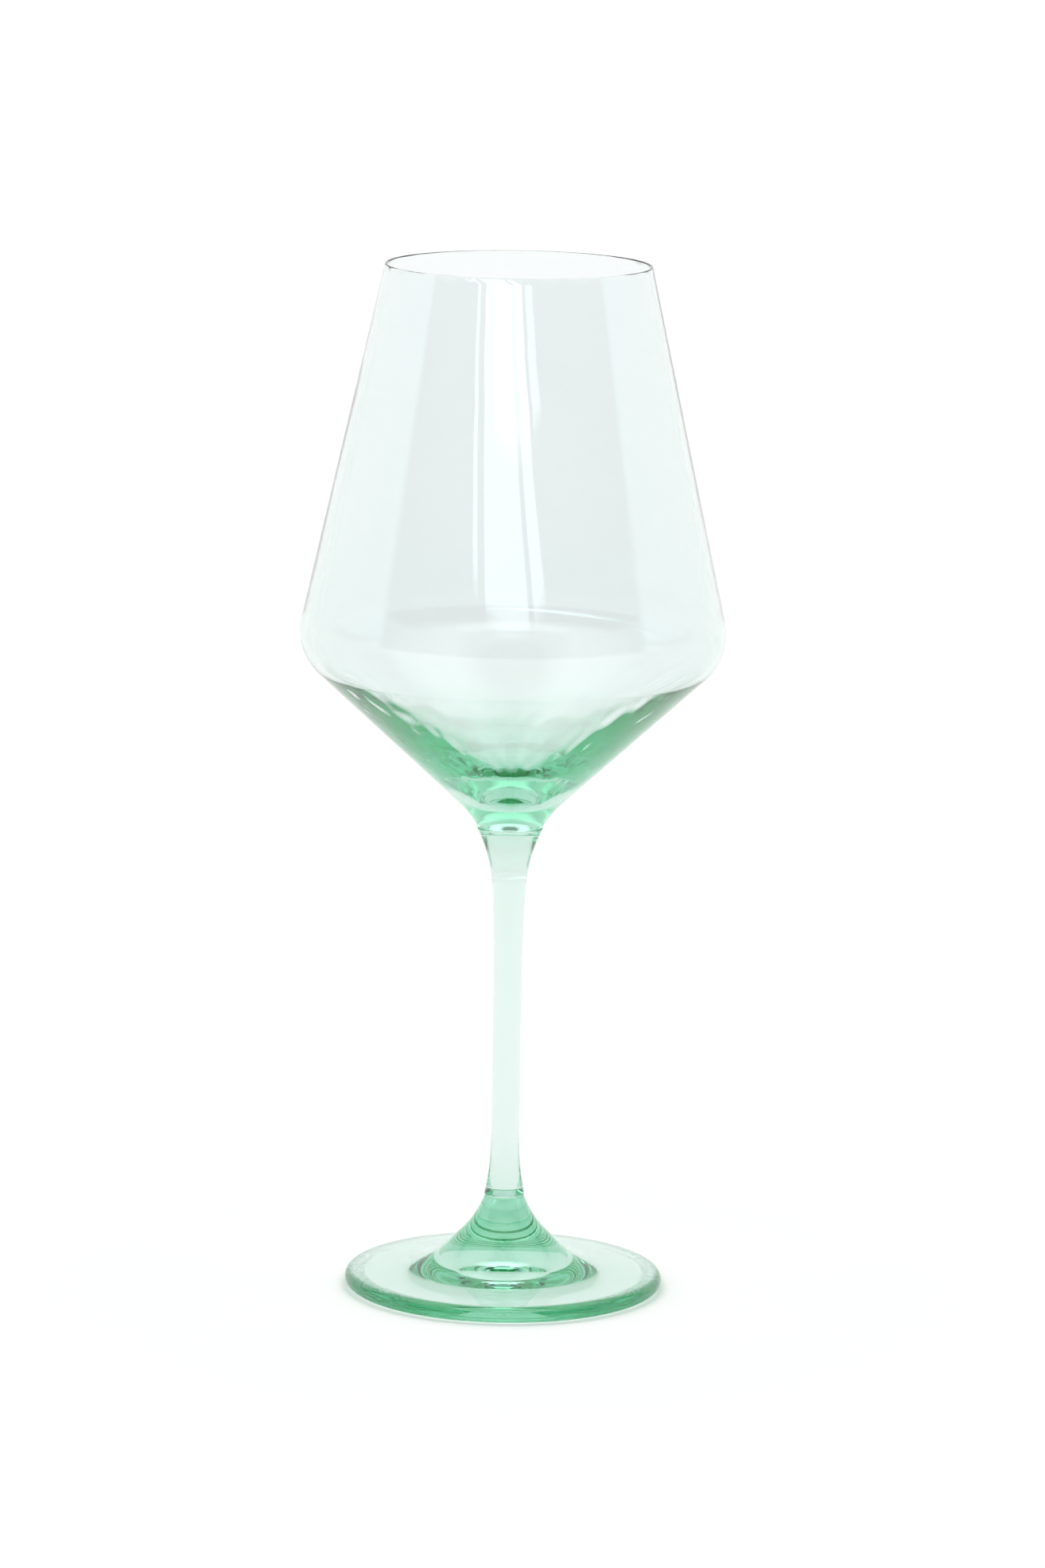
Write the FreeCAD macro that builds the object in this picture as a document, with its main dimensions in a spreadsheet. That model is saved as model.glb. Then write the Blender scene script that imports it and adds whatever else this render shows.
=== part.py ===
"""Stemmed wine glass: blown bowl, drawn stem and pressed foot, fused end to end.

All sizes are in millimetres. The glass stands on the XY plane, +Z is up and the axis of
revolution is Z, so the origin is the centre of the circle that the foot rests on.
Each piece is a half section on the XZ plane, turned once round Z. In a section the
horizontal axis is the radius and the vertical axis is the height. Its lines and arcs form
one closed chain, and its sizes come from the spreadsheet.
"""
import FreeCAD, Part
import math
import os

import Sketcher
from FreeCAD import Vector

# Driving dimensions: alias, value, what it measures.
DIMENSIONS = [
    ("total_height", 229.0, "table to rim"),
    ("rim_radius", 29.3, "outside radius of the mouth"),
    ("lip_wall", 1.1, "wall at the mouth, rounded over by the flame"),
    ("widest_radius", 46.95, "largest outside radius of the bowl"),
    ("widest_height", 147.8, "height of that largest radius"),
    ("shoulder_radius", 11.7, "outside bend between the upper wall and the lower cone"),
    ("shoulder_wall", 1.3, "wall at the shoulder"),
    ("cone_angle", 47.2, "outside of the lower cone, from the vertical"),
    ("neck_radius", 23.0, "outside bend from the cone down to the stem"),
    ("belly_radius", 350.0, "long bend of the inside below the shoulder"),
    ("well_height", 112.2, "height of the lowest point of the inside"),
    ("well_dish", 16.0, "dished bottom of the inside"),
    ("well_corner", 1.8, "round between the dished bottom and the belly"),
    ("well_reach", 6.2, "distance of that round's centre from the axis"),
    ("upper_joint_height", 104.3, "face where the bowl and the stem are fused"),
    ("upper_joint_radius", 7.25, "outside radius at that face"),
    ("lower_joint_height", 20.7, "face where the stem and the foot are fused"),
    ("lower_joint_radius", 4.45, "outside radius at that face"),
    ("joint_crease", 0.3, "rounding of the edges that meet at each fused joint"),
    ("upper_flare_radius", 33.0, "bend of the stem under the bowl"),
    ("waist_radius", 3.12, "thinnest part of the stem"),
    ("waist_top", 67.0, "height where the thinnest part ends"),
    ("waist_bottom", 33.0, "height where the thinnest part begins"),
    ("taper_radius", 470.0, "long bend of the stem above its thinnest part"),
    ("lower_flare_radius", 56.0, "bend of the stem above the foot"),
    ("hub_flare_radius", 21.0, "upper bend of the foot's hub"),
    ("hub_angle", 45.0, "side of the hub, from the vertical"),
    ("blend_radius", 16.0, "bend from the hub into the top of the foot"),
    ("foot_radius", 35.4, "outside radius of the foot"),
    ("foot_edge", 3.6, "thickness of the foot's rounded edge"),
    ("foot_slope", 4.5, "top of the foot, from the horizontal"),
    ("hub_base_radius", 23.0, "where the hub's bend meets the top of the foot"),
    ("rest_radius", 31.0, "inside of the flat ring that the foot rests on"),
    ("hollow_slope", 3.75, "hollow under the foot, from the horizontal"),
    ("punt_radius", 12.5, "outside radius of the dished mark in the hollow"),
    ("punt_round", 28.0, "bend of that dished mark"),
]

SIZE = {alias: value for alias, value, _ in DIMENSIONS}
START, END, CENTRE = 1, 2, 3
ORIGIN_POINT = (-1, 1)
UPRIGHT_AXIS = -2
FULL_TURN = 360.0
CUBIC_CENTIMETRE = 1000.0


def make_sheet(document):
    """Write the driving dimensions into a spreadsheet, one aliased cell each."""
    sheet = document.addObject("Spreadsheet::Sheet", "sizes")
    for row, (alias, value, meaning) in enumerate(DIMENSIONS, start=1):
        sheet.set(f"A{row}", meaning)
        sheet.set(f"B{row}", str(value))
        sheet.setAlias(f"B{row}", alias)
    document.recompute()
    return sheet


def along(angle):
    """Unit direction that leans outward from the vertical by an angle in degrees."""
    lean = math.radians(angle)
    return Vector(math.sin(lean), math.cos(lean), 0)


def outward(angle):
    """Unit normal on the outer side of a wall that leans by an angle in degrees."""
    lean = math.radians(angle)
    return Vector(math.cos(lean), -math.sin(lean), 0)


class HalfSection:
    """A closed chain of lines and arcs, sketched on the XZ plane of a body."""

    def __init__(self, body, name):
        self.sketch = body.newObject("Sketcher::SketchObject", name)
        plane = next(item for item in body.Origin.OriginFeatures if item.Role == "XZ_Plane")
        self.sketch.AttachmentSupport = [(plane, "")]
        self.sketch.MapMode = "FlatFace"
        self.pieces = {}
        self.order = []

    def line(self, name, begin, finish):
        """Add a line to the chain."""
        index = self.sketch.addGeometry(Part.LineSegment(begin, finish), False)
        self._append(name, index, START, END)

    def arc(self, name, centre, begin, finish, clockwise=False):
        """Add an arc to the chain; the sketcher itself only stores anticlockwise arcs."""
        radius = (begin - centre).Length
        first, last = (finish, begin) if clockwise else (begin, finish)
        first_angle = math.atan2(first.y - centre.y, first.x - centre.x)
        last_angle = math.atan2(last.y - centre.y, last.x - centre.x)
        if last_angle < first_angle:
            last_angle += math.tau
        circle = Part.Circle(centre, Vector(0, 0, 1), radius)
        index = self.sketch.addGeometry(Part.ArcOfCircle(circle, first_angle, last_angle), False)
        self._append(name, index, *((END, START) if clockwise else (START, END)))

    def _append(self, name, index, begin, finish):
        self.pieces[name] = {"index": index, "begin": begin, "finish": finish, "centre": CENTRE}
        self.order.append(name)

    def at(self, name, place):
        """Geometry number and point number of one place on a piece of the chain."""
        piece = self.pieces[name]
        return piece["index"], piece[place]

    def close(self, sharp):
        """Join each piece to the next: smoothly, or at a corner if it is named in sharp."""
        for name, following in zip(self.order, self.order[1:] + self.order[:1]):
            kind = "Coincident" if name in sharp else "Tangent"
            self.add(kind, *self.at(name, "finish"), *self.at(following, "begin"))

    def add(self, kind, *values):
        return self.sketch.addConstraint(Sketcher.Constraint(kind, *values))

    def bind(self, number, name, expression):
        """Drive a dimension from the spreadsheet."""
        self.sketch.renameConstraint(number, name)
        self.sketch.setExpression(f"Constraints.{name}", expression)

    def radius(self, name, expression):
        index = self.pieces[name]["index"]
        number = self.add("Radius", index, self.sketch.Geometry[index].Radius)
        self.bind(number, f"{name}_radius", expression)

    def out(self, name, place, expression):
        """Drive the distance of a point from the axis."""
        point = self.at(name, place)
        here = self.sketch.getPoint(*point)
        number = self.add("DistanceX", *ORIGIN_POINT, *point, here.x)
        self.bind(number, f"{name}_{place}_out", expression)

    def up(self, name, place, expression):
        """Drive the height of a point above the table."""
        point = self.at(name, place)
        here = self.sketch.getPoint(*point)
        number = self.add("DistanceY", *ORIGIN_POINT, *point, here.y)
        self.bind(number, f"{name}_{place}_up", expression)

    def lean(self, name, expression):
        """Drive the angle of a line, anticlockwise from the horizontal axis."""
        index = self.pieces[name]["index"]
        line = self.sketch.Geometry[index]
        run = line.EndPoint - line.StartPoint
        number = self.add("Angle", index, math.atan2(run.y, run.x))
        self.bind(number, f"{name}_angle", expression)

    def share_centre(self, name, other):
        self.add("Coincident", *self.at(name, "centre"), *self.at(other, "centre"))

    def on_axis(self, name, place):
        self.add("PointOnObject", *self.at(name, place), UPRIGHT_AXIS)

    def level(self, name):
        self.add("Horizontal", self.pieces[name]["index"])

    def upright(self, name):
        self.add("Vertical", self.pieces[name]["index"])


def make_body(document, name):
    """Empty body whose own frame is the frame of the whole glass."""
    body = document.addObject("PartDesign::Body", name)
    body.Label = name
    body.Placement = FreeCAD.Placement(Vector(0, 0, 0), FreeCAD.Rotation())
    return body


def turn(body, section):
    """Turn a section once round the upright axis of its own sketch."""
    solid = body.newObject("PartDesign::Revolution", f"{body.Name}_turned")
    solid.Profile = section.sketch
    solid.ReferenceAxis = (section.sketch, ["V_Axis"])
    solid.Angle = FULL_TURN
    section.sketch.Visibility = False
    return solid


def line_under(low_centre, low_radius, high_centre, high_radius):
    """Touching points of the line that passes under two circles."""
    run = high_centre - low_centre
    heading = math.atan2(run.y, run.x)
    swing = math.asin((high_radius - low_radius) / run.Length)
    side = heading - math.pi / 2 - swing
    normal = Vector(math.cos(side), math.sin(side), 0)
    return low_centre + normal * low_radius, high_centre + normal * high_radius


def bend_around(low_centre, low_radius, high_centre, high_radius, radius):
    """Centre and touching points of a large arc that holds two smaller circles."""
    run = high_centre - low_centre
    low_reach = radius - low_radius
    high_reach = radius - high_radius
    ahead = (low_reach ** 2 - high_reach ** 2 + run.Length ** 2) / (2 * run.Length)
    aside = math.sqrt(low_reach ** 2 - ahead ** 2)
    course = run / run.Length
    centre = low_centre + course * ahead + Vector(-course.y, course.x, 0) * aside
    low_touch = low_centre + (low_centre - centre).normalize() * low_radius
    high_touch = high_centre + (high_centre - centre).normalize() * high_radius
    return centre, low_touch, high_touch


def bend_to_crease(touch, lean, normal, radius, crease_centre):
    """Centre of an arc that touches a leaning line and the small round at a fused joint.

    The second result is the point where the arc leaves the line.
    """
    offset = touch + normal * radius
    reach = offset - crease_centre
    half = reach.dot(lean)
    total = radius + SIZE["joint_crease"]
    back = half - math.sqrt(half * half - reach.dot(reach) + total * total)
    return offset - lean * back, touch - lean * back


def make_bowl(document):
    """Blown bowl: rounded lip, upper wall, shoulder, lower cone and solid button."""
    body = make_body(document, "bowl")
    section = HalfSection(body, "bowl_section")
    crease = SIZE["joint_crease"]
    lip = SIZE["lip_wall"] / 2
    cone = SIZE["cone_angle"]

    joint = Vector(0, SIZE["upper_joint_height"], 0)
    crease_centre = joint + Vector(SIZE["upper_joint_radius"] - crease, crease, 0)
    crease_begin = crease_centre - Vector(0, crease, 0)
    shoulder_out = SIZE["widest_radius"] - SIZE["shoulder_radius"]
    shoulder_centre = Vector(shoulder_out, SIZE["widest_height"], 0)
    cone_finish = shoulder_centre + outward(cone) * SIZE["shoulder_radius"]
    neck_centre, cone_begin = bend_to_crease(
        cone_finish, along(cone), outward(cone), SIZE["neck_radius"], crease_centre)
    neck_begin = crease_centre + (neck_centre - crease_centre).normalize() * crease
    lip_centre = Vector(SIZE["rim_radius"] - lip, SIZE["total_height"] - lip, 0)
    wall_begin, wall_finish = line_under(
        shoulder_centre, SIZE["shoulder_radius"], lip_centre, lip)
    inner_radius = SIZE["shoulder_radius"] - SIZE["shoulder_wall"]
    inner_begin = wall_finish + (lip_centre - wall_finish) * 2
    inner_finish = shoulder_centre + (wall_begin - shoulder_centre).normalize() * inner_radius
    dish_finish = Vector(0, SIZE["well_height"], 0)
    dish_centre = dish_finish + Vector(0, SIZE["well_dish"], 0)
    corner_run = SIZE["well_dish"] - SIZE["well_corner"]
    corner_drop = math.sqrt(corner_run ** 2 - SIZE["well_reach"] ** 2)
    corner_centre = dish_centre + Vector(SIZE["well_reach"], -corner_drop, 0)
    dish_begin = corner_centre + (corner_centre - dish_centre).normalize() * SIZE["well_corner"]
    belly_centre, corner_begin, belly_begin = bend_around(
        corner_centre, SIZE["well_corner"], shoulder_centre, inner_radius, SIZE["belly_radius"])

    section.line("face", joint, crease_begin)
    section.arc("crease", crease_centre, crease_begin, neck_begin)
    section.arc("neck", neck_centre, neck_begin, cone_begin, clockwise=True)
    section.line("cone", cone_begin, cone_finish)
    section.arc("shoulder", shoulder_centre, cone_finish, wall_begin)
    section.line("wall", wall_begin, wall_finish)
    section.arc("lip", lip_centre, wall_finish, inner_begin)
    section.line("inner_wall", inner_begin, inner_finish)
    section.arc("inner_shoulder", shoulder_centre, inner_finish, belly_begin, clockwise=True)
    section.arc("belly", belly_centre, belly_begin, corner_begin, clockwise=True)
    section.arc("corner", corner_centre, corner_begin, dish_begin, clockwise=True)
    section.arc("dish", dish_centre, dish_begin, dish_finish, clockwise=True)
    section.line("axis", dish_finish, joint)
    section.close(sharp=("dish", "axis"))

    section.level("face")
    section.on_axis("face", "begin")
    section.up("face", "begin", "sizes.upper_joint_height * 1 mm")
    section.radius("crease", "sizes.joint_crease * 1 mm")
    section.out("crease", "centre", "(sizes.upper_joint_radius - sizes.joint_crease) * 1 mm")
    section.radius("neck", "sizes.neck_radius * 1 mm")
    section.lean("cone", "(90 - sizes.cone_angle) * 1 deg")
    section.radius("shoulder", "sizes.shoulder_radius * 1 mm")
    section.out("shoulder", "centre", "(sizes.widest_radius - sizes.shoulder_radius) * 1 mm")
    section.up("shoulder", "centre", "sizes.widest_height * 1 mm")
    section.radius("lip", "sizes.lip_wall / 2 * 1 mm")
    section.out("lip", "centre", "(sizes.rim_radius - sizes.lip_wall / 2) * 1 mm")
    section.up("lip", "centre", "(sizes.total_height - sizes.lip_wall / 2) * 1 mm")
    section.share_centre("inner_shoulder", "shoulder")
    section.radius("inner_shoulder", "(sizes.shoulder_radius - sizes.shoulder_wall) * 1 mm")
    section.radius("belly", "sizes.belly_radius * 1 mm")
    section.radius("corner", "sizes.well_corner * 1 mm")
    section.out("corner", "centre", "sizes.well_reach * 1 mm")
    section.on_axis("dish", "centre")
    section.on_axis("dish", "finish")
    section.radius("dish", "sizes.well_dish * 1 mm")
    section.up("dish", "finish", "sizes.well_height * 1 mm")
    turn(body, section)
    return body


def make_stem(document):
    """Drawn stem: flared at both fused ends, thinnest below the middle."""
    body = make_body(document, "stem")
    section = HalfSection(body, "stem_section")
    crease = SIZE["joint_crease"]
    waist = SIZE["waist_radius"]

    bottom = Vector(0, SIZE["lower_joint_height"], 0)
    top = Vector(0, SIZE["upper_joint_height"], 0)
    waist_bottom = Vector(waist, SIZE["waist_bottom"], 0)
    waist_top = Vector(waist, SIZE["waist_top"], 0)
    low_centre = waist_bottom + Vector(SIZE["lower_flare_radius"], 0, 0)
    low_crease = bottom + Vector(SIZE["lower_joint_radius"] - crease, crease, 0)
    low_begin = low_crease + (low_centre - low_crease).normalize() * crease
    taper_centre = waist_top + Vector(SIZE["taper_radius"], 0, 0)
    high_crease = top + Vector(SIZE["upper_joint_radius"] - crease, -crease, 0)
    # The upper flare touches the long taper bend inside and the crease outside.
    taper_run = SIZE["taper_radius"] - SIZE["upper_flare_radius"]
    flare_run = SIZE["upper_flare_radius"] + crease
    span = high_crease - taper_centre
    bearing = math.atan2(span.y, span.x)
    cosine = (taper_run ** 2 + span.Length ** 2 - flare_run ** 2) / (2 * taper_run * span.Length)
    swing = bearing + math.acos(cosine)
    flare_centre = taper_centre + Vector(math.cos(swing), math.sin(swing), 0) * taper_run
    taper_finish = taper_centre + (flare_centre - taper_centre).normalize() * SIZE["taper_radius"]
    flare_finish = high_crease + (flare_centre - high_crease).normalize() * crease

    section.line("lower_face", bottom, low_crease - Vector(0, crease, 0))
    section.arc("lower_crease", low_crease, low_crease - Vector(0, crease, 0), low_begin)
    section.arc("lower_flare", low_centre, low_begin, waist_bottom, clockwise=True)
    section.line("waist", waist_bottom, waist_top)
    section.arc("taper", taper_centre, waist_top, taper_finish, clockwise=True)
    section.arc("upper_flare", flare_centre, taper_finish, flare_finish, clockwise=True)
    section.arc("upper_crease", high_crease, flare_finish, high_crease + Vector(0, crease, 0))
    section.line("upper_face", high_crease + Vector(0, crease, 0), top)
    section.line("axis", top, bottom)
    section.close(sharp=("upper_face", "axis"))

    section.level("lower_face")
    section.level("upper_face")
    section.on_axis("lower_face", "begin")
    section.on_axis("upper_face", "finish")
    section.up("lower_face", "begin", "sizes.lower_joint_height * 1 mm")
    section.up("upper_face", "finish", "sizes.upper_joint_height * 1 mm")
    section.radius("lower_crease", "sizes.joint_crease * 1 mm")
    section.radius("upper_crease", "sizes.joint_crease * 1 mm")
    section.out("lower_crease", "centre", "(sizes.lower_joint_radius - sizes.joint_crease) * 1 mm")
    section.out("upper_crease", "centre", "(sizes.upper_joint_radius - sizes.joint_crease) * 1 mm")
    section.out("waist", "begin", "sizes.waist_radius * 1 mm")
    section.up("waist", "finish", "sizes.waist_top * 1 mm")
    section.upright("waist")
    section.radius("lower_flare", "sizes.lower_flare_radius * 1 mm")
    section.radius("taper", "sizes.taper_radius * 1 mm")
    section.radius("upper_flare", "sizes.upper_flare_radius * 1 mm")
    turn(body, section)
    return body


def make_foot(document):
    """Pressed foot: hub on top, rounded edge, and a shallow hollow underneath."""
    body = make_body(document, "foot")
    section = HalfSection(body, "foot_section")
    crease = SIZE["joint_crease"]
    nose = SIZE["foot_edge"] / 2
    top_lean = 90 + SIZE["foot_slope"]
    side_lean = 180 - SIZE["hub_angle"]

    rest_begin = Vector(SIZE["rest_radius"], 0, 0)
    rest_finish = Vector(SIZE["foot_radius"] - nose, 0, 0)
    # The hollow is a flat cone with a dished mark in its middle.
    cone_run = SIZE["rest_radius"] - SIZE["punt_radius"]
    cone_rise = cone_run * math.tan(math.radians(SIZE["hollow_slope"]))
    hollow_begin = rest_begin + Vector(-cone_run, cone_rise, 0)
    punt_drop = math.sqrt(SIZE["punt_round"] ** 2 - SIZE["punt_radius"] ** 2)
    punt_centre = Vector(0, hollow_begin.y - punt_drop, 0)
    punt_middle = punt_centre + Vector(0, SIZE["punt_round"], 0)

    nose_centre = rest_finish + Vector(0, nose, 0)
    nose_finish = nose_centre - outward(top_lean) * nose
    top_run = nose_finish.x - SIZE["hub_base_radius"]
    top_rise = top_run * math.tan(math.radians(SIZE["foot_slope"]))
    top_finish = nose_finish + Vector(-top_run, top_rise, 0)
    blend_centre = top_finish - outward(top_lean) * SIZE["blend_radius"]
    side_begin = blend_centre + outward(side_lean) * SIZE["blend_radius"]
    joint = Vector(0, SIZE["lower_joint_height"], 0)
    crease_centre = joint + Vector(SIZE["lower_joint_radius"] - crease, -crease, 0)
    flare_centre, side_finish = bend_to_crease(
        side_begin, along(side_lean), -outward(side_lean), SIZE["hub_flare_radius"], crease_centre)
    flare_finish = crease_centre + (flare_centre - crease_centre).normalize() * crease

    section.arc("punt", punt_centre, punt_middle, hollow_begin, clockwise=True)
    section.line("hollow_cone", hollow_begin, rest_begin)
    section.line("rest", rest_begin, rest_finish)
    section.arc("nose", nose_centre, rest_finish, nose_finish)
    section.line("top", nose_finish, top_finish)
    section.arc("blend", blend_centre, top_finish, side_begin, clockwise=True)
    section.line("side", side_begin, side_finish)
    section.arc("hub_flare", flare_centre, side_finish, flare_finish, clockwise=True)
    section.arc("crease", crease_centre, flare_finish, crease_centre + Vector(0, crease, 0))
    section.line("face", crease_centre + Vector(0, crease, 0), joint)
    section.line("axis", joint, punt_middle)
    section.close(sharp=("punt", "hollow_cone", "face", "axis"))

    section.on_axis("punt", "begin")
    section.on_axis("punt", "centre")
    section.radius("punt", "sizes.punt_round * 1 mm")
    section.out("punt", "finish", "sizes.punt_radius * 1 mm")
    section.lean("hollow_cone", "-sizes.hollow_slope * 1 deg")
    section.level("rest")
    section.up("rest", "begin", "0 mm")
    section.out("rest", "begin", "sizes.rest_radius * 1 mm")
    section.radius("nose", "sizes.foot_edge / 2 * 1 mm")
    section.out("nose", "centre", "(sizes.foot_radius - sizes.foot_edge / 2) * 1 mm")
    section.lean("top", "(180 - sizes.foot_slope) * 1 deg")
    section.out("top", "finish", "sizes.hub_base_radius * 1 mm")
    section.radius("blend", "sizes.blend_radius * 1 mm")
    section.lean("side", "(90 + sizes.hub_angle) * 1 deg")
    section.radius("hub_flare", "sizes.hub_flare_radius * 1 mm")
    section.radius("crease", "sizes.joint_crease * 1 mm")
    section.out("crease", "centre", "(sizes.lower_joint_radius - sizes.joint_crease) * 1 mm")
    section.level("face")
    section.on_axis("face", "finish")
    section.up("face", "finish", "sizes.lower_joint_height * 1 mm")
    turn(body, section)
    return body


def check(document, bodies):
    """Stop before anything is written if a feature failed or a shape is not sound."""
    for item in document.Objects:
        if "Invalid" in item.State or "Error" in item.State:
            raise RuntimeError(f"{item.Label} did not recompute: {item.State}")
    for body in bodies:
        if body.Shape.isNull() or not body.Shape.isValid():
            raise RuntimeError(f"{body.Label} has no sound shape")


def main():
    document = FreeCAD.newDocument("wine_glass")
    make_sheet(document)
    bodies = [make_bowl(document), make_stem(document), make_foot(document)]
    document.recompute()
    check(document, bodies)
    os.makedirs("parts", exist_ok=True)
    for body in bodies:
        body.Shape.exportStep(f"parts/{body.Label}.step")
        print(f"{body.Label}: {body.Shape.Volume / CUBIC_CENTIMETRE:.2f} cm3")


main()
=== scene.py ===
"""Looks of the wine glass: bowl, stem and foot as closed glass solids on a pale floor.

Units are metres, +Z is up and the glass stands on z = 0 with its axis on Z. Extreme sizes
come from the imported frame; the bends between them are the named values below.
Points of a section are complex numbers: the real part is the radius from the axis and the
imaginary part is the height.
"""

import cmath
import math

import bpy
import numpy as np
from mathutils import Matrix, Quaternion, Vector, noise


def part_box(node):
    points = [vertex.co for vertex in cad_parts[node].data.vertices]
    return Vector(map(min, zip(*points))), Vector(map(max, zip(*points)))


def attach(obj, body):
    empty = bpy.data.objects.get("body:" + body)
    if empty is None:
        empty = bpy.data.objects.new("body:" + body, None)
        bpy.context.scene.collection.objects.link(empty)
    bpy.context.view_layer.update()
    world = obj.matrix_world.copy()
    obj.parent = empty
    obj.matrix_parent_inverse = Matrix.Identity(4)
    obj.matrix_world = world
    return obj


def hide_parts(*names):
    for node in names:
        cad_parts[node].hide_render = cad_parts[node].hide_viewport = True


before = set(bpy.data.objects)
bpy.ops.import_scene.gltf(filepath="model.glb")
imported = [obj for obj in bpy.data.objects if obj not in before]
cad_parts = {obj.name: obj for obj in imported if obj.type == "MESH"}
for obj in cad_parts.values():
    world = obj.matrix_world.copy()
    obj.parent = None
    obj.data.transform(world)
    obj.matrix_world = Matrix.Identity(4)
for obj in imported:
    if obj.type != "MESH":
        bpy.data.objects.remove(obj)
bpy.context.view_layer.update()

MM = 0.001

# Section of the bowl
LIP_WALL = 0.6 * MM
RIM_RADIUS = 29.3 * MM
WIDEST_HEIGHT = 147.8 * MM
SHOULDER_RADIUS = 11.7 * MM
SHOULDER_WALL = 1.3 * MM
CONE_ANGLE = 47.2
NECK_RADIUS = 23.0 * MM
BELLY_RADIUS = 350.0 * MM
WELL_CORNER = 1.8 * MM
WELL_REACH = 6.2 * MM
WELL_DISH = 16.0 * MM
WELL_HEIGHT = 112.2 * MM

# Section of the stem
UPPER_JOINT_RADIUS = 7.25 * MM
LOWER_JOINT_RADIUS = 4.45 * MM
JOINT_CREASE = 0.3 * MM
JOINT_GAP = 0.01 * MM
UPPER_FLARE_RADIUS = 33.0 * MM
WAIST_RADIUS = 3.12 * MM
WAIST_TOP = 67.0 * MM
WAIST_BOTTOM = 33.0 * MM
TAPER_RADIUS = 470.0 * MM
LOWER_FLARE_RADIUS = 56.0 * MM

# Section of the foot
HUB_FLARE_RADIUS = 21.0 * MM
HUB_ANGLE = 45.0
BLEND_RADIUS = 16.0 * MM
FOOT_EDGE = 3.6 * MM
FOOT_SLOPE = 4.5
HUB_BASE_RADIUS = 23.0 * MM
REST_RADIUS = 31.0 * MM
HOLLOW_SLOPE = 3.75
PUNT_RADIUS = 12.5 * MM
PUNT_ROUND = 28.0 * MM

# How finely the sections are sampled and turned
SEGMENTS = 256
POLES = 2
ROW_STEP = 1.1 * MM
ARC_STEP = math.radians(3.0)
FEWEST_ARC_POINTS = 3

# Unevenness of the blown inside: depth of its waves, then noise cells per radian round the
# bowl and per metre up
CONE_WAVE = 0.22 * MM
CONE_WAVE_ROUND = 12.0
CONE_WAVE_UP = 260.0
WALL_WAVE = 0.012 * MM
WALL_WAVE_ROUND = 7.0
WALL_WAVE_UP = 12.0
# Share of the depth at the front and back of the cone, and where it grows towards X
CONE_CALM = 0.25
CONE_CALM_END = 0.3
CONE_UNEVEN_BEGIN = 0.8
# Heights that bound the waves of the cone, and how softly they end
WAVE_TOP = 141.0 * MM
WAVE_BOTTOM = 116.0 * MM
CONE_FADE_ABOVE = 6.0 * MM
CONE_FADE_BELOW = 5.0 * MM
WALL_FADE = 10.0 * MM

# Glass: refraction, tint and surface
GLASS_IOR = 1.52
SURFACE_COLOUR = (0.947, 0.966, 0.969, 1)
TINT_COLOUR = (0.39, 0.82, 0.63, 1)
TINT_DENSITY = 50.0
FLOW_SCALE = 38.0
FLOW_DEPTH = 0.05 * MM
FLOW_DETAIL = 1.0
ORANGE_PEEL_SCALE = 420.0
ORANGE_PEEL_DEPTH = 0.0015 * MM
ORANGE_PEEL_DETAIL = 2.0
BUMP_STRENGTH = 0.5
# Scuffs of the resting ring: the range of their noise, then the roughness that it gives
SCUFF_SCALE = 900.0
SCUFF_DETAIL = 4.0
SCUFF_TOP = 0.25 * MM
SCUFF_INSIDE = 30.4 * MM
SCUFF_EDGE = 0.8 * MM
SCUFF_RANGE = (0.35, 0.65, 0.1, 0.4)

# Floor, just below the foot so that their faces stay apart
FLOOR_HALF_SIDE = 14.0
FLOOR_DROP = 0.1 * MM
FLOOR_COLOUR = (0.98, 0.94, 0.935, 1)

# Camera
CAMERA_PLACE = (0, -1.5, 0.39)
CAMERA_PITCH = math.radians(10.43)
CAMERA_ROLL = math.radians(0.93)
CAMERA_YAW = math.radians(0.099)
LENS = 158.5
SENSOR_WIDTH = 36
CLIP_END = 100

# Studio light: tones, then the angles in degrees between which each one comes in.
# Azimuth 0 is the side of the camera and 180 is behind the glass.
FRONT_TONE = 0.12
HORIZON_TONE = 1.0
BACKDROP_TONE = 1.0
SIDE_TONE = 1.0
WINDOW_TONE = 4.0
OVERHEAD_TONE = 1.97
ZENITH_TONE = 0.35
SKY_TINT = (0.82, 0.97, 1.0)
BACKDROP_RISE = (112.0, 135.0)
HORIZON_FALL = (5.0, 11.0)
SIDE_AZIMUTH, SIDE_HALF_WIDTH, SIDE_EDGE = 98.0, 18.0, 6.0
SIDE_FALL = (55.0, 65.0)
OVERHEAD_RISE = (38.0, 60.0)
ZENITH_RISE = (68.0, 78.0)

# The window: the elevations of its foot and top, and for each pane the azimuth of its middle
# at the foot, its lean in degrees of azimuth per degree up, and its half width
WINDOW_SILL = 16.0
WINDOW_RISE = (15.6, 16.0)
WINDOW_FALL = (24.0, 27.0)
WINDOW_PANES = ((-4.5, -5.5, 12.0), (14.0, -5.5, 2.5), (-24.0, -6.2, 1.2))
PANE_EDGE = 1.2

# Path tracing
MOST_BOUNCES = 96
MOST_GLASS_BOUNCES = 64
MOST_DIFFUSE_BOUNCES = 4
INDIRECT_CLAMP = 8.0


def heading(angle):
    """Unit direction that leans outward from the vertical by an angle in degrees."""
    return cmath.rect(1, math.radians(90 - angle))


def outward(angle):
    """Unit normal on the outer side of a wall that leans by an angle in degrees."""
    return cmath.rect(1, math.radians(-angle))


def dot(a, b):
    """Scalar product of two directions."""
    return a.real * b.real + a.imag * b.imag


def unit(a):
    """The same direction with length 1."""
    return a / abs(a)


def line(begin, finish):
    """Points from begin up to, not including, finish."""
    count = max(1, round(abs(finish - begin) / ROW_STEP))
    return [begin + (finish - begin) * i / count for i in range(count)]


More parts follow.
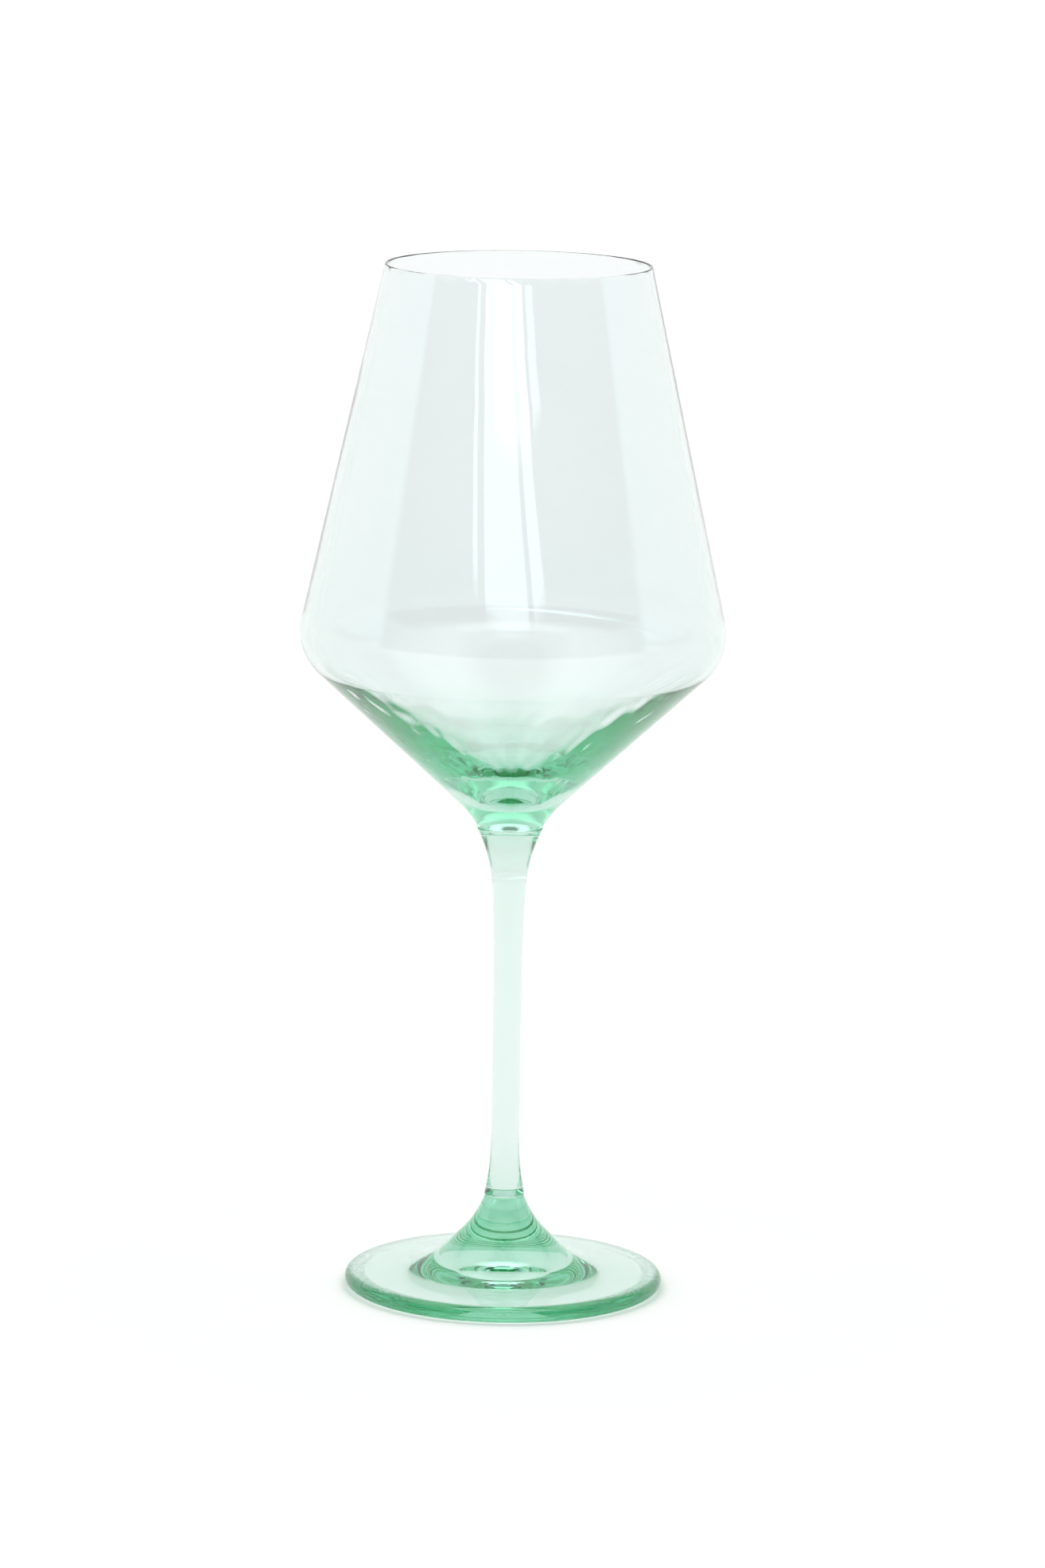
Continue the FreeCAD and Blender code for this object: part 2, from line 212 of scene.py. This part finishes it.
def arc(centre, begin, finish, turn):
    """Points of an arc from begin up to, not including, finish. turn is 1 or -1."""
    radius = abs(begin - centre)
    first = cmath.phase(begin - centre)
    sweep = (cmath.phase(finish - centre) - first) * turn % math.tau
    length = radius * sweep
    count = max(FEWEST_ARC_POINTS, round(max(sweep / ARC_STEP, length / ROW_STEP)))
    return [centre + cmath.rect(radius, first + turn * sweep * i / count) for i in range(count)]


def line_under(low_centre, low_radius, high_centre, high_radius):
    """Touching points of the line that passes under two circles."""
    run = high_centre - low_centre
    swing = math.asin((high_radius - low_radius) / abs(run))
    normal = cmath.rect(1, cmath.phase(run) - math.pi / 2 - swing)
    return low_centre + normal * low_radius, high_centre + normal * high_radius


def bend_around(low_centre, low_radius, high_centre, high_radius, radius):
    """Centre and touching points of a large bend that holds two smaller circles."""
    run = high_centre - low_centre
    low_reach, high_reach = radius - low_radius, radius - high_radius
    ahead = (low_reach ** 2 - high_reach ** 2 + abs(run) ** 2) / (2 * abs(run))
    aside = math.sqrt(low_reach ** 2 - ahead ** 2)
    centre = low_centre + unit(run) * complex(ahead, aside)
    low_touch = low_centre + unit(low_centre - centre) * low_radius
    high_touch = high_centre + unit(high_centre - centre) * high_radius
    return centre, low_touch, high_touch


def bend_to_crease(touch, lean, normal, radius, crease_centre):
    """Centre of a bend that touches a leaning line and the small round at a fused joint.

    The second result is the point where the bend leaves the line.
    """
    offset = touch + normal * radius
    reach = offset - crease_centre
    half = dot(reach, lean)
    total = radius + JOINT_CREASE
    back = half - math.sqrt(half * half - abs(reach) ** 2 + total * total)
    return offset - lean * back, touch - lean * back


def fade(value, low, high):
    """Smooth step from 0 to 1."""
    share = min(1.0, max(0.0, (value - low) / (high - low)))
    return share * share * (3 - 2 * share)


def inner_wave(first_row):
    """Waves of the inside of the bowl, deepest at the left and right of the lower cone."""
    def shift(row, turn, place):
        """Shift of one point away from the axis."""
        if row < first_row:
            return 0.0
        height = place.imag
        around = Vector((math.cos(turn), math.sin(turn), 0.0))
        up = Vector((0.0, 0.0, height))
        cone = noise.noise(around * CONE_WAVE_ROUND + up * CONE_WAVE_UP)
        wall = noise.noise(around * WALL_WAVE_ROUND + up * WALL_WAVE_UP)
        in_cone = fade(WAVE_TOP - height, 0.0, CONE_FADE_ABOVE)
        in_cone *= fade(height - WAVE_BOTTOM, 0.0, CONE_FADE_BELOW)
        in_wall = fade(height - WAVE_TOP, 0.0, WALL_FADE)
        uneven = fade(abs(around.x), CONE_CALM_END, CONE_UNEVEN_BEGIN)
        sideways = CONE_CALM + (1 - CONE_CALM) * uneven
        return cone * CONE_WAVE * sideways * in_cone + wall * WALL_WAVE * in_wall
    return shift


def bowl_section():
    """Points of the bowl from the joint outside, over the lip and down the inside.

    The other two results are the rows of the fused face and the waves of the inside.
    """
    low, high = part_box("bowl")
    base, top = low.z, high.z
    lip = LIP_WALL / 2
    lean, normal = heading(CONE_ANGLE), outward(CONE_ANGLE)
    shoulder = complex(high.x - SHOULDER_RADIUS, WIDEST_HEIGHT)
    crease = complex(UPPER_JOINT_RADIUS - JOINT_CREASE, base + JOINT_CREASE)
    cone_finish = shoulder + normal * SHOULDER_RADIUS
    neck, cone_begin = bend_to_crease(cone_finish, lean, normal, NECK_RADIUS, crease)
    lip_centre = complex(RIM_RADIUS - lip, top - lip)
    wall_begin, wall_finish = line_under(shoulder, SHOULDER_RADIUS, lip_centre, lip)
    inner_radius = SHOULDER_RADIUS - SHOULDER_WALL
    inner_normal = unit(wall_finish - lip_centre)
    inner_begin = lip_centre - inner_normal * lip
    inner_finish = shoulder + unit(wall_begin - shoulder) * inner_radius
    # The well is a shallow dish whose rounded edge meets the belly.
    dish = complex(0, WELL_HEIGHT + WELL_DISH)
    corner_drop = math.sqrt((WELL_DISH - WELL_CORNER) ** 2 - WELL_REACH ** 2)
    corner = dish + complex(WELL_REACH, -corner_drop)
    belly, corner_begin, belly_begin = bend_around(
        corner, WELL_CORNER, shoulder, inner_radius, BELLY_RADIUS)
    dish_begin = corner + unit(corner - dish) * WELL_CORNER
    crease_begin = crease - 1j * JOINT_CREASE
    neck_begin = crease + unit(neck - crease) * JOINT_CREASE
    points = line(complex(0, base), crease_begin)
    fused = len(points)
    points += arc(crease, crease_begin, neck_begin, 1)
    points += arc(neck, neck_begin, cone_begin, -1)
    points += line(cone_begin, cone_finish)
    points += arc(shoulder, cone_finish, wall_begin, 1)
    points += line(wall_begin, wall_finish)
    points += arc(lip_centre, wall_finish, inner_begin, 1)
    inner_row = len(points)
    points += line(inner_begin, inner_finish)
    points += arc(shoulder, inner_finish, belly_begin, -1)
    points += arc(belly, belly_begin, corner_begin, -1)
    points += arc(corner, corner_begin, dish_begin, -1)
    points += arc(dish, dish_begin, complex(0, WELL_HEIGHT), -1)
    points.append(complex(0, WELL_HEIGHT))
    return points, [(0, fused)], inner_wave(inner_row)


def stem_section():
    """Points of the stem from the bottom to the top, and the rows of its two fused faces."""
    low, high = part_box("stem")
    base, top = low.z + JOINT_GAP, high.z - JOINT_GAP
    waist_bottom = complex(WAIST_RADIUS, WAIST_BOTTOM)
    waist_top = complex(WAIST_RADIUS, WAIST_TOP)
    low_centre = waist_bottom + LOWER_FLARE_RADIUS
    taper = waist_top + TAPER_RADIUS
    low_crease = complex(LOWER_JOINT_RADIUS - JOINT_CREASE, base + JOINT_CREASE)
    high_crease = complex(UPPER_JOINT_RADIUS - JOINT_CREASE, top - JOINT_CREASE)
    low_begin = low_crease + unit(low_centre - low_crease) * JOINT_CREASE
    # The upper flare touches the long taper bend inside and the crease outside.
    taper_run = TAPER_RADIUS - UPPER_FLARE_RADIUS
    flare_run = UPPER_FLARE_RADIUS + JOINT_CREASE
    span = high_crease - taper
    cosine = (taper_run ** 2 + abs(span) ** 2 - flare_run ** 2) / (2 * taper_run * abs(span))
    flare = taper + cmath.rect(taper_run, cmath.phase(span) + math.acos(cosine))
    taper_finish = taper + unit(flare - taper) * TAPER_RADIUS
    flare_finish = high_crease + unit(flare - high_crease) * JOINT_CREASE
    low_face = low_crease - 1j * JOINT_CREASE
    high_face = high_crease + 1j * JOINT_CREASE
    points = line(complex(0, base), low_face)
    fused_low = len(points)
    points += arc(low_crease, low_face, low_begin, 1)
    points += arc(low_centre, low_begin, waist_bottom, -1)
    points += line(waist_bottom, waist_top)
    points += arc(taper, waist_top, taper_finish, -1)
    points += arc(flare, taper_finish, flare_finish, -1)
    points += arc(high_crease, flare_finish, high_face, 1)
    fused_high = len(points)
    points += line(high_face, complex(0, top))
    points.append(complex(0, top))
    return points, [(0, fused_low), (fused_high, len(points) - 1)]


def foot_section():
    """Points of the foot from underneath to the joint, and the rows of its fused face."""
    low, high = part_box("foot")
    radius, top = high.x, high.z
    nose = FOOT_EDGE / 2
    top_lean, side_lean = 90 + FOOT_SLOPE, 180 - HUB_ANGLE
    rest_begin = complex(REST_RADIUS, 0)
    rest_finish = complex(radius - nose, 0)
    cone_run = REST_RADIUS - PUNT_RADIUS
    cone_rise = cone_run * math.tan(math.radians(HOLLOW_SLOPE))
    hollow_begin = rest_begin + complex(-cone_run, cone_rise)
    punt_drop = math.sqrt(PUNT_ROUND ** 2 - PUNT_RADIUS ** 2)
    hollow_centre = hollow_begin - complex(PUNT_RADIUS, punt_drop)
    hollow_middle = hollow_centre + 1j * PUNT_ROUND
    nose_centre = rest_finish + 1j * nose
    nose_finish = nose_centre - outward(top_lean) * nose
    top_run = nose_finish.real - HUB_BASE_RADIUS
    top_finish = nose_finish + complex(-top_run, top_run * math.tan(math.radians(FOOT_SLOPE)))
    blend = top_finish - outward(top_lean) * BLEND_RADIUS
    side_begin = blend + outward(side_lean) * BLEND_RADIUS
    crease = complex(LOWER_JOINT_RADIUS - JOINT_CREASE, top - JOINT_CREASE)
    flare, side_finish = bend_to_crease(
        side_begin, heading(side_lean), -outward(side_lean), HUB_FLARE_RADIUS, crease)
    flare_finish = crease + unit(flare - crease) * JOINT_CREASE
    face = crease + 1j * JOINT_CREASE
    points = arc(hollow_centre, hollow_middle, hollow_begin, -1)
    points += line(hollow_begin, rest_begin)
    points += line(rest_begin, rest_finish)
    points += arc(nose_centre, rest_finish, nose_finish, 1)
    points += line(nose_finish, top_finish)
    points += arc(blend, top_finish, side_begin, -1)
    points += line(side_begin, side_finish)
    points += arc(flare, side_finish, flare_finish, -1)
    points += arc(crease, flare_finish, face, 1)
    fused = len(points)
    points += line(face, complex(0, top))
    points.append(complex(0, top))
    return points, [(fused, len(points) - 1)]


def lathe(name, section, fused_rows, wave=None):
    """Closed mesh of a section turned round the axis. Both ends of the section lie on the axis.

    fused_rows holds pairs of row numbers: the first row of a fused face and the row after it.
    wave gives the shift of a point away from the axis, from its row, its turn and its place.
    """
    def is_fused(row):
        return any(first <= row < last for first, last in fused_rows)

    def round_row(row):
        """Numbers of the vertices of one ring, each with the next one round."""
        first = POLES + row * SEGMENTS
        return [(first + k, first + (k + 1) % SEGMENTS) for k in range(SEGMENTS)]

    rings = section[1:-1]
    vertices = [(0, 0, section[0].imag), (0, 0, section[-1].imag)]
    for row, ring in enumerate(rings, start=1):
        for k in range(SEGMENTS):
            turn = math.tau * k / SEGMENTS
            radius = ring.real + (wave(row, turn, ring) if wave else 0.0)
            vertices.append((radius * math.cos(turn), radius * math.sin(turn), ring.imag))
    faces = [(0, after, here) for here, after in round_row(0)]
    fused = [is_fused(0)] * SEGMENTS
    for row in range(len(rings) - 1):
        for (here, after), (above, above_after) in zip(round_row(row), round_row(row + 1)):
            faces.append((here, after, above_after, above))
        fused += [is_fused(row + 1)] * SEGMENTS
    faces += [(here, after, 1) for here, after in round_row(len(rings) - 1)]
    fused += [is_fused(len(rings))] * SEGMENTS
    mesh = bpy.data.meshes.new(name)
    mesh.from_pydata(vertices, [], faces)
    mesh.validate()
    mask = mesh.attributes.new("fused", "FLOAT", "FACE")
    mask.data.foreach_set("value", np.array(fused, np.float32))
    mesh.polygons.foreach_set("use_smooth", np.ones(len(faces), bool))
    mesh.update()
    piece = bpy.data.objects.new(name, mesh)
    bpy.context.scene.collection.objects.link(piece)
    return piece


class Sums:
    """Short names for the maths nodes of one node tree."""

    def __init__(self, tree):
        self.nodes, self.links = tree.nodes, tree.links

    def add(self, kind):
        """New node, by the end of its type's name."""
        return self.nodes.new(f"ShaderNode{kind}")

    def put(self, value, socket):
        """Set a constant, or link the output of another node."""
        if isinstance(value, (int, float)):
            socket.default_value = value
        else:
            self.links.new(value, socket)

    def calc(self, operation, first, second=0.0):
        """Result of one maths node."""
        node = self.add("Math")
        node.operation = operation
        self.put(first, node.inputs[0])
        self.put(second, node.inputs[1])
        return node.outputs[0]

    def rise(self, value, low, high, start=0.0, stop=1.0):
        """Smooth step from start to stop while the value goes from low to high."""
        node = self.add("MapRange")
        node.interpolation_type = "SMOOTHSTEP"
        self.put(value, node.inputs["Value"])
        self.put(low, node.inputs["From Min"])
        self.put(high, node.inputs["From Max"])
        self.put(start, node.inputs["To Min"])
        self.put(stop, node.inputs["To Max"])
        return node.outputs["Result"]

    def band(self, value, half_width, edge):
        """1 while the value is within the half width of zero, with soft edges."""
        size = self.calc("ABSOLUTE", value)
        spare = self.calc("SUBTRACT", size, half_width)
        return self.rise(spare, 0.0, edge, 1.0, 0.0)

    def blend(self, tone, share, other):
        """Move a tone towards another tone by a share."""
        gap = self.calc("SUBTRACT", other, tone)
        return self.calc("ADD", tone, self.calc("MULTIPLY", share, gap))

    def grain(self, place, scale, detail):
        """Noise between 0 and 1 at a place in metres, scale in cells per metre."""
        node = self.add("TexNoise")
        self.links.new(place, node.inputs["Vector"])
        node.inputs["Scale"].default_value = scale
        node.inputs["Detail"].default_value = detail
        return node.outputs["Fac"]

    def bump(self, height, depth, normal=None):
        """Normal of a surface that rises with the height, on top of another normal."""
        node = self.add("Bump")
        node.inputs["Strength"].default_value = BUMP_STRENGTH
        node.inputs["Distance"].default_value = depth
        self.links.new(height, node.inputs["Height"])
        if normal:
            self.links.new(normal, node.inputs["Normal"])
        return node.outputs["Normal"]


def glass_material():
    """Pale green glass: slow flow waves, a faint orange peel and a scuffed resting ring."""
    material = bpy.data.materials.new("pale_green_glass")
    material.use_nodes = True
    sums = Sums(material.node_tree)
    sums.nodes.clear()
    output = sums.add("OutputMaterial")
    glass = sums.add("BsdfPrincipled")
    glass.inputs["Base Color"].default_value = SURFACE_COLOUR
    glass.inputs["Transmission Weight"].default_value = 1.0
    sums.links.new(glass.outputs["BSDF"], output.inputs["Surface"])
    # Two faces that meet at a fused joint do not bend the light.
    joint = sums.add("Attribute")
    joint.attribute_name = "fused"
    sums.put(sums.rise(joint.outputs["Fac"], 0.0, 1.0, GLASS_IOR, 1.0), glass.inputs["IOR"])
    place = sums.add("TexCoord").outputs["Object"]
    apart = sums.add("SeparateXYZ")
    sums.links.new(place, apart.inputs["Vector"])
    flow = sums.bump(sums.grain(place, FLOW_SCALE, FLOW_DETAIL), FLOW_DEPTH)
    peel = sums.grain(place, ORANGE_PEEL_SCALE, ORANGE_PEEL_DETAIL)
    surface = sums.bump(peel, ORANGE_PEEL_DEPTH, flow)
    sums.links.new(surface, glass.inputs["Normal"])
    across = sums.calc("MULTIPLY", apart.outputs["X"], apart.outputs["X"])
    deep = sums.calc("MULTIPLY", apart.outputs["Y"], apart.outputs["Y"])
    radius = sums.calc("SQRT", sums.calc("ADD", across, deep))
    low = sums.rise(apart.outputs["Z"], 0.0, SCUFF_TOP, 1.0, 0.0)
    ring = sums.rise(radius, SCUFF_INSIDE, SCUFF_INSIDE + SCUFF_EDGE)
    scuffs = sums.rise(sums.grain(place, SCUFF_SCALE, SCUFF_DETAIL), *SCUFF_RANGE)
    worn = sums.calc("MULTIPLY", sums.calc("MULTIPLY", low, ring), scuffs)
    sums.put(worn, glass.inputs["Roughness"])
    tint = sums.add("VolumeAbsorption")
    tint.inputs["Color"].default_value = TINT_COLOUR
    tint.inputs["Density"].default_value = TINT_DENSITY
    sums.links.new(tint.outputs["Volume"], output.inputs["Volume"])
    return material


def make_glass():
    """The three glass pieces in place of the CAD nodes."""
    material = glass_material()
    sections = {"bowl": bowl_section(), "stem": stem_section(), "foot": foot_section()}
    for node, section in sections.items():
        piece = lathe(f"{node}_glass", *section)
        piece.data.materials.append(material)
        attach(piece, "root")
        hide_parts(node)


def make_floor():
    """Plain matt floor."""
    mesh = bpy.data.meshes.new("floor")
    half = FLOOR_HALF_SIDE
    corners = [(-half, -half, 0), (half, -half, 0), (half, half, 0), (-half, half, 0)]
    mesh.from_pydata(corners, [], [(0, 1, 2, 3)])
    floor = bpy.data.objects.new("floor", mesh)
    bpy.context.scene.collection.objects.link(floor)
    material = bpy.data.materials.new("pale_floor")
    material.use_nodes = True
    surface = material.node_tree.nodes["Principled BSDF"]
    surface.inputs["Base Color"].default_value = FLOOR_COLOUR
    surface.inputs["Roughness"].default_value = 1.0
    surface.inputs["Specular IOR Level"].default_value = 0.0
    mesh.materials.append(material)
    floor.location.z = -FLOOR_DROP


def make_camera():
    """Camera in front of the glass, a little above it and rolled by a degree."""
    data = bpy.data.cameras.new("camera")
    data.lens = LENS
    data.sensor_width = SENSOR_WIDTH
    data.clip_end = CLIP_END
    camera = bpy.data.objects.new("camera", data)
    bpy.context.scene.collection.objects.link(camera)
    camera.location = CAMERA_PLACE
    ahead = math.cos(CAMERA_PITCH)
    aim = Vector((
        math.sin(CAMERA_YAW) * ahead, math.cos(CAMERA_YAW) * ahead, -math.sin(CAMERA_PITCH)))
    roll = Quaternion((0, 0, 1), CAMERA_ROLL)
    camera.rotation_mode = "QUATERNION"
    camera.rotation_quaternion = aim.to_track_quat("-Z", "Y") @ roll
    bpy.context.scene.camera = camera


def make_world():
    """Studio light: white backdrop and ceiling, darker room and a window on the camera's side."""
    world = bpy.data.worlds.new("world")
    bpy.context.scene.world = world
    world.use_nodes = True
    sums = Sums(world.node_tree)
    apart = sums.add("SeparateXYZ")
    sums.links.new(sums.add("TexCoord").outputs["Generated"], apart.inputs["Vector"])
    east, north, up = (apart.outputs[axis] for axis in "XYZ")
    south = sums.calc("MULTIPLY", north, -1.0)
    azimuth = sums.calc("DEGREES", sums.calc("ARCTAN2", east, south))
    elevation = sums.calc("DEGREES", sums.calc("ARCSINE", up))
    turn = sums.calc("ABSOLUTE", azimuth)
    behind = sums.rise(turn, *BACKDROP_RISE)
    low = sums.rise(elevation, *HORIZON_FALL, 1.0, 0.0)
    tone = sums.blend(FRONT_TONE, behind, BACKDROP_TONE)
    beside = sums.band(sums.calc("SUBTRACT", turn, SIDE_AZIMUTH), SIDE_HALF_WIDTH, SIDE_EDGE)
    beside = sums.calc("MULTIPLY", beside, sums.rise(elevation, *SIDE_FALL, 1.0, 0.0))
    tone = sums.blend(tone, beside, SIDE_TONE)
    tone = sums.blend(tone, low, HORIZON_TONE)
    # The panes of the window lean to one side.
    above = sums.calc("SUBTRACT", elevation, WINDOW_SILL)
    window_fall = sums.rise(elevation, *WINDOW_FALL, 1.0, 0.0)
    window_height = sums.calc("MULTIPLY", window_fall, sums.rise(elevation, *WINDOW_RISE))
    for start, lean, half_width in WINDOW_PANES:
        middle = sums.calc("ADD", sums.calc("MULTIPLY", above, lean), start)
        pane = sums.band(sums.calc("SUBTRACT", azimuth, middle), half_width, PANE_EDGE)
        tone = sums.blend(tone, sums.calc("MULTIPLY", pane, window_height), WINDOW_TONE)
    overhead = sums.rise(elevation, *OVERHEAD_RISE)
    tone = sums.blend(tone, overhead, OVERHEAD_TONE)
    tone = sums.blend(tone, sums.rise(elevation, *ZENITH_RISE), ZENITH_TONE)
    # The light is a little cool, except overhead, from the backdrop and along the horizon.
    neutral = sums.calc("MAXIMUM", sums.calc("MAXIMUM", overhead, behind), low)
    tint = sums.add("Mix")
    tint.data_type = "VECTOR"
    # Sockets 4 and 5 and output 1 are the ones for vectors.
    tint.inputs[4].default_value = SKY_TINT
    tint.inputs[5].default_value = (1.0, 1.0, 1.0)
    sums.put(neutral, tint.inputs["Factor"])
    tinted = sums.add("VectorMath")
    tinted.operation = "SCALE"
    sums.links.new(tint.outputs[1], tinted.inputs[0])
    sums.put(tone, tinted.inputs["Scale"])
    sums.links.new(tinted.outputs[0], sums.nodes["Background"].inputs["Color"])


def set_path_tracing():
    """Enough bounces for light that runs inside the glass, and no softened refraction."""
    scene = bpy.context.scene
    scene.view_settings.view_transform = "Standard"
    scene.cycles.max_bounces = MOST_BOUNCES
    scene.cycles.transmission_bounces = MOST_GLASS_BOUNCES
    scene.cycles.glossy_bounces = MOST_GLASS_BOUNCES
    scene.cycles.diffuse_bounces = MOST_DIFFUSE_BOUNCES
    scene.cycles.blur_glossy = 0.0
    scene.cycles.caustics_refractive = True
    scene.cycles.caustics_reflective = True
    scene.cycles.use_denoising = True
    scene.cycles.sample_clamp_indirect = INDIRECT_CLAMP


make_glass()
make_floor()
make_camera()
make_world()
set_path_tracing()
